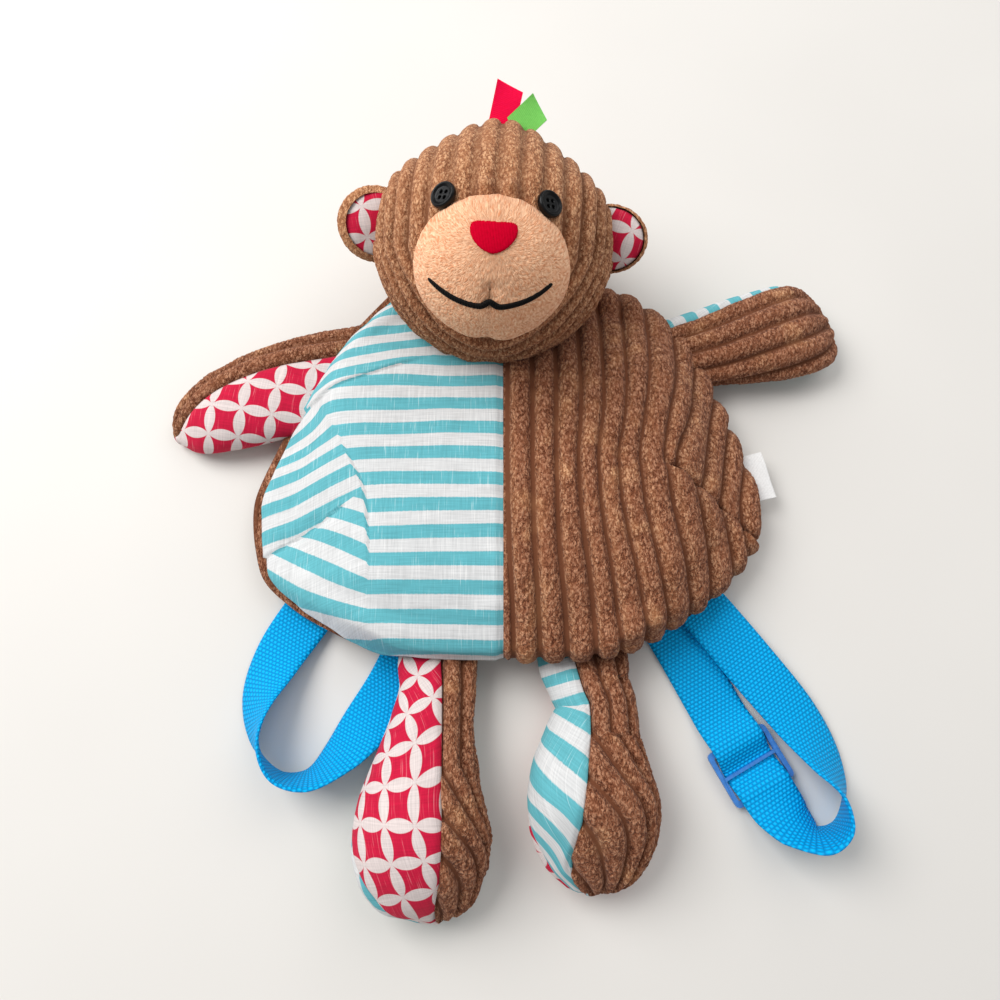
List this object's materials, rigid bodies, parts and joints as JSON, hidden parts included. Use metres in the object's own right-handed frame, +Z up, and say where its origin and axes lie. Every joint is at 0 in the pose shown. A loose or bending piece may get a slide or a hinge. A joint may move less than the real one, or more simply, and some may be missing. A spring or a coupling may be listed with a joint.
{
  "type": "plush animal backpack",
  "caption": "Soft toy backpack lying on its back: flat pouch, half striped and half corduroy, with stuffed head, arms and legs and two looped webbing straps.",
  "frame": {"origin": "middle of the underside of the whole object as it lies on its back", "axes": "+Z up, out of the pouch's front; +Y from the legs to the head; +X to the corduroy half"},
  "size_m": [0.3436, 0.3584, 0.1166],
  "materials": {
    "corduroy": "chunky corduroy plush, matt pile",
    "muzzle_plush": "short pile plush, matt",
    "nose_embroidery": "dense satin stitch",
    "black_thread": "satin stitch",
    "button": "polished",
    "red_print": "woven cotton, printed with off-white overlapping circles",
    "striped_cotton": "slub cotton with teal and off-white stripes",
    "ribbon_red": "grosgrain ribbon",
    "ribbon_green": "grosgrain ribbon",
    "webbing": "ribbed polypropylene webbing",
    "slider_plastic": "moulded, satin",
    "label_tape": "woven satin tape, bare"
  },
  "bodies": {
    "root": {"front_panel_striped": "striped_cotton", "front_panel_corduroy": "corduroy", "back_panel": "corduroy", "side_label": "label_tape", "head": "corduroy", "muzzle": "muzzle_plush", "nose": "nose_embroidery", "mouth": "black_thread", "eye_left": "button", "eye_right": "button", "ear_left_front": "red_print", "ear_left_back": "corduroy", "ear_right_front": "red_print", "ear_right_back": "corduroy", "ribbon_red": "ribbon_red", "ribbon_green": "ribbon_green", "arm_left_print": "red_print", "arm_left_corduroy": "corduroy", "arm_right_corduroy": "corduroy", "arm_right_striped": "striped_cotton", "leg_left_print": "red_print", "leg_left_corduroy": "corduroy", "leg_left_under": "striped_cotton", "leg_right_striped": "striped_cotton", "leg_right_corduroy": "corduroy", "leg_right_under": "red_print", "strap_left": "webbing", "strap_right": "webbing", "slider_right": "slider_plastic"}
  },
  "joints": []
}
